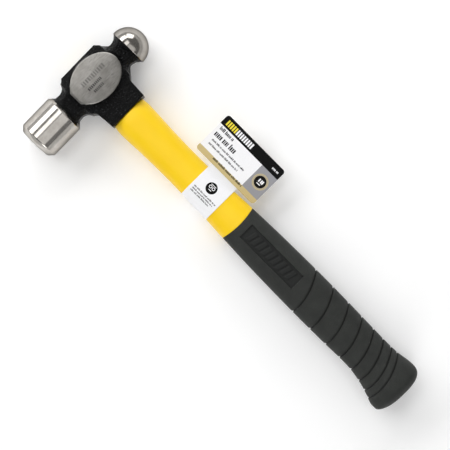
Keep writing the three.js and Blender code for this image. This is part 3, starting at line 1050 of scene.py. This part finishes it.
def label_print():
    """Generic stand-ins for the label's text and badges. No letters are drawn."""
    rng = np.random.default_rng(16)
    black = words(rng, 82.6, 95.4, -39.2, -36.6, 0.75)
    black += words(rng, 82.6, 103.0, -35.2, -31.0, 1.15)
    black += words(rng, 84.2, 115.0, -28.9, -27.5, 0.5)
    black += words(rng, 84.2, 112.0, -25.6, -24.2, 0.5)
    black += words(rng, 93.8, 121.2, -20.6, -18.8, 0.62)
    print_piece("flag_text", black, on_flag, BLACK_INK, BOTH_SIDES)
    yellow = blocks(83.4, 5, -45.8, -41.6)
    pale = blocks(92.9, 8, -45.8, -41.6) + words(rng, 127.0, 133.2, -44.6, -42.9, 0.55)
    print_piece("flag_stripe_yellow", yellow, on_flag, YELLOW_INK, BOTH_SIDES)
    print_piece("flag_stripe_white", pale, on_flag, WHITE_CARD, BOTH_SIDES)
    badge = (-30.7, 128.1)
    rings = [ring_columns(*badge, 5.7, 5.2), ring_columns(*badge, 4.85, 4.5)]
    print_piece("badge_rings", rings, on_flag, TAN_INK, BOTH_SIDES)
    print_piece("badge_disc", [ring_columns(*badge, 4.35, 0.02, 4)], on_flag, BLACK_INK, BOTH_SIDES)

    def over_badge(x, y, side):
        return on_flag(x, y, side) + side * INK

    x, y = badge
    dashes = [bar(x - 1.9, x + 0.7, y + at, y + at + 1.0) for at in (-1.7, 0.1, 1.3)]
    dashes += [bar(x + 1.5, x + 2.2, y - 1.6, y + 1.6)]
    print_piece("badge_dashes", dashes, over_badge, WHITE_CARD, BOTH_SIDES)

    small = []
    for low, high, end in ((2.0, 3.1, 118.2), (3.8, 4.9, 117.4), (5.6, 6.7, 115.8)):
        small += words(rng, 98.1, end, low, high, 0.48)
    x, y = -4.0, 108.0
    small += [ring_columns(x, y, 4.15, 0.02, 9)]
    print_piece("band_text", small, on_band, BLACK_INK)
    icon = [ring_columns(x - 0.5, y + side * 1.35, 1.2, 0.75) for side in (-1, 1)]
    icon += [bar(x - 2.5, x - 2.1, y - 2.2, y + 2.2), bar(x + 1.5, x + 2.0, y - 1.2, y + 1.2)]

    def over_icon(x, y, side):
        return on_band(x, y, side) + side * INK

    print_piece("band_icon", icon, over_icon, WHITE_CARD)


def tick_row(rng, y, height, x0, x1, pitch):
    """Generic upright ticks of uneven width, side by side along the head."""
    shapes, x = [], x0
    while x < x1:
        wide = pitch * rng.uniform(0.4, 0.7)
        shapes.append([[(x, y), (x, y + height)], [(x + wide, y), (x + wide, y + height)]])
        x += wide + pitch * 0.45
    return shapes


def cheek_marks():
    """Stamped rows on the upper cheek: a large faint one, and two small ones with paint left in them."""
    rng = np.random.default_rng(7)

    def on_cheek(x, y, side):
        return side * CHEEK_OUT

    large = tick_row(rng, -4.4, 3.2, -11.0, 10.0, 1.9)
    small = tick_row(rng, 1.2, 2.1, -3.4, 7.6, 1.35) + tick_row(rng, 4.9, 2.1, -1.8, 6.4, 1.35)
    for name, shapes, ink in (("cheek_mark_large", large, FAINT_MARK),
                              ("cheek_marks_small", small, DARK_MARK)):
        print_piece(name, shapes, on_cheek, ink, local=HEAD_FRAME)


# ------------------------------------------------------------
# Stage, light and camera
# ------------------------------------------------------------

def studio_bowl():
    """A round pale floor that curves up into a low wall all round."""
    flat, wall, curve = 2.4, 1.2, 0.7
    profile = [(flat * share, 0.0) for share in (0.02, 0.25, 0.5, 0.75, 0.9, 1)]
    profile += [(flat + curve * sin(a), curve * (1 - cos(a))) for a in np.linspace(0, pi / 2, 15)[1:]]
    profile += [(flat + curve, wall)]
    sides = 96
    made = bmesh.new()
    spin = [[made.verts.new((r * cos(a), r * sin(a), h)) for a in even_turns(sides)] for r, h in profile]
    made.faces.new(spin[0])
    for lower, upper in zip(spin, spin[1:]):
        for i in range(sides):
            made.faces.new((lower[i], upper[i], upper[(i + 1) % sides], lower[(i + 1) % sides]))
    mesh = bpy.data.meshes.new("studio_floor")
    made.to_mesh(mesh)
    made.free()
    mesh.materials.append(pale_floor())
    mesh.polygons.foreach_set("use_smooth", [True] * len(mesh.polygons))
    bowl = bpy.data.objects.new("studio_floor", mesh)
    bpy.context.scene.collection.objects.link(bowl)


PICTURE_TURN = 134.05      # from the head's +X towards +Y to the right of the picture, in degrees
AIM = Vector((0.0099, 0.1319, MIDDLE_Z * MM))
LIGHTS_AIM = Vector((0, 0.07, 0.02))


def softbox(name, bearing, zenith, size, distance, radiance):
    """A rectangular light aimed at the hammer. bearing turns from the head's +X towards +Y, and zenith
    is the angle from straight up, both in degrees. size is (across the bearing, along it) in metres."""
    lamp = bpy.data.lights.new(name, "AREA")
    lamp.shape = "RECTANGLE"
    lamp.size, lamp.size_y = size
    lamp.energy = pi * size[0] * size[1] * radiance
    made = bpy.data.objects.new(name, lamp)
    bpy.context.scene.collection.objects.link(made)
    turn = Matrix.Rotation(radians(bearing - 90), 4, "Z") @ Matrix.Rotation(-radians(zenith), 4, "X")
    made.matrix_world = Matrix.Translation(LIGHTS_AIM) @ turn @ Matrix.Translation((0, 0, distance))


def lights():
    """Strips and softboxes in rows along the head, so that the face's cylinder shows them as stripes."""
    softbox("edge_strip", -90, 57, (1.9, 0.60), 1.6, 4.6)
    softbox("near_softbox", -90, 21, (1.6, 0.62), 1.8, 2.0)
    softbox("wide_softbox", 90, 19, (1.7, 1.8), 2.0, 0.7)
    softbox("far_softbox", 215, 66, (0.9, 0.7), 1.7, 4.5)
    softbox("fill_softbox", 45, 62, (0.9, 0.7), 1.7, 3.2)
    world = bpy.data.worlds.new("studio")
    bpy.context.scene.world = world
    world.use_nodes = True
    background = world.node_tree.nodes["Background"]
    background.inputs["Color"].default_value = (1, 1, 1, 1)
    background.inputs["Strength"].default_value = 0.22


def camera():
    """Square above the hammer's side, turned so that the head is at the upper left."""
    view_width, distance = 0.3078, 1.3
    lens = bpy.data.cameras.new("camera")
    lens.sensor_width = 36
    lens.lens = 36 * distance / view_width
    made = bpy.data.objects.new("camera", lens)
    bpy.context.scene.collection.objects.link(made)
    made.location = AIM + Vector((0, 0, distance))
    made.rotation_euler = (0, 0, radians(PICTURE_TURN))
    bpy.context.scene.camera = made


camera()
lights()
studio_bowl()

head_body()
ball()
striking_face()
cheek_marks()
jacket()
rod_end()
resin_fill()
grip()
label()
label_print()

bpy.context.scene.view_settings.view_transform = "Standard"
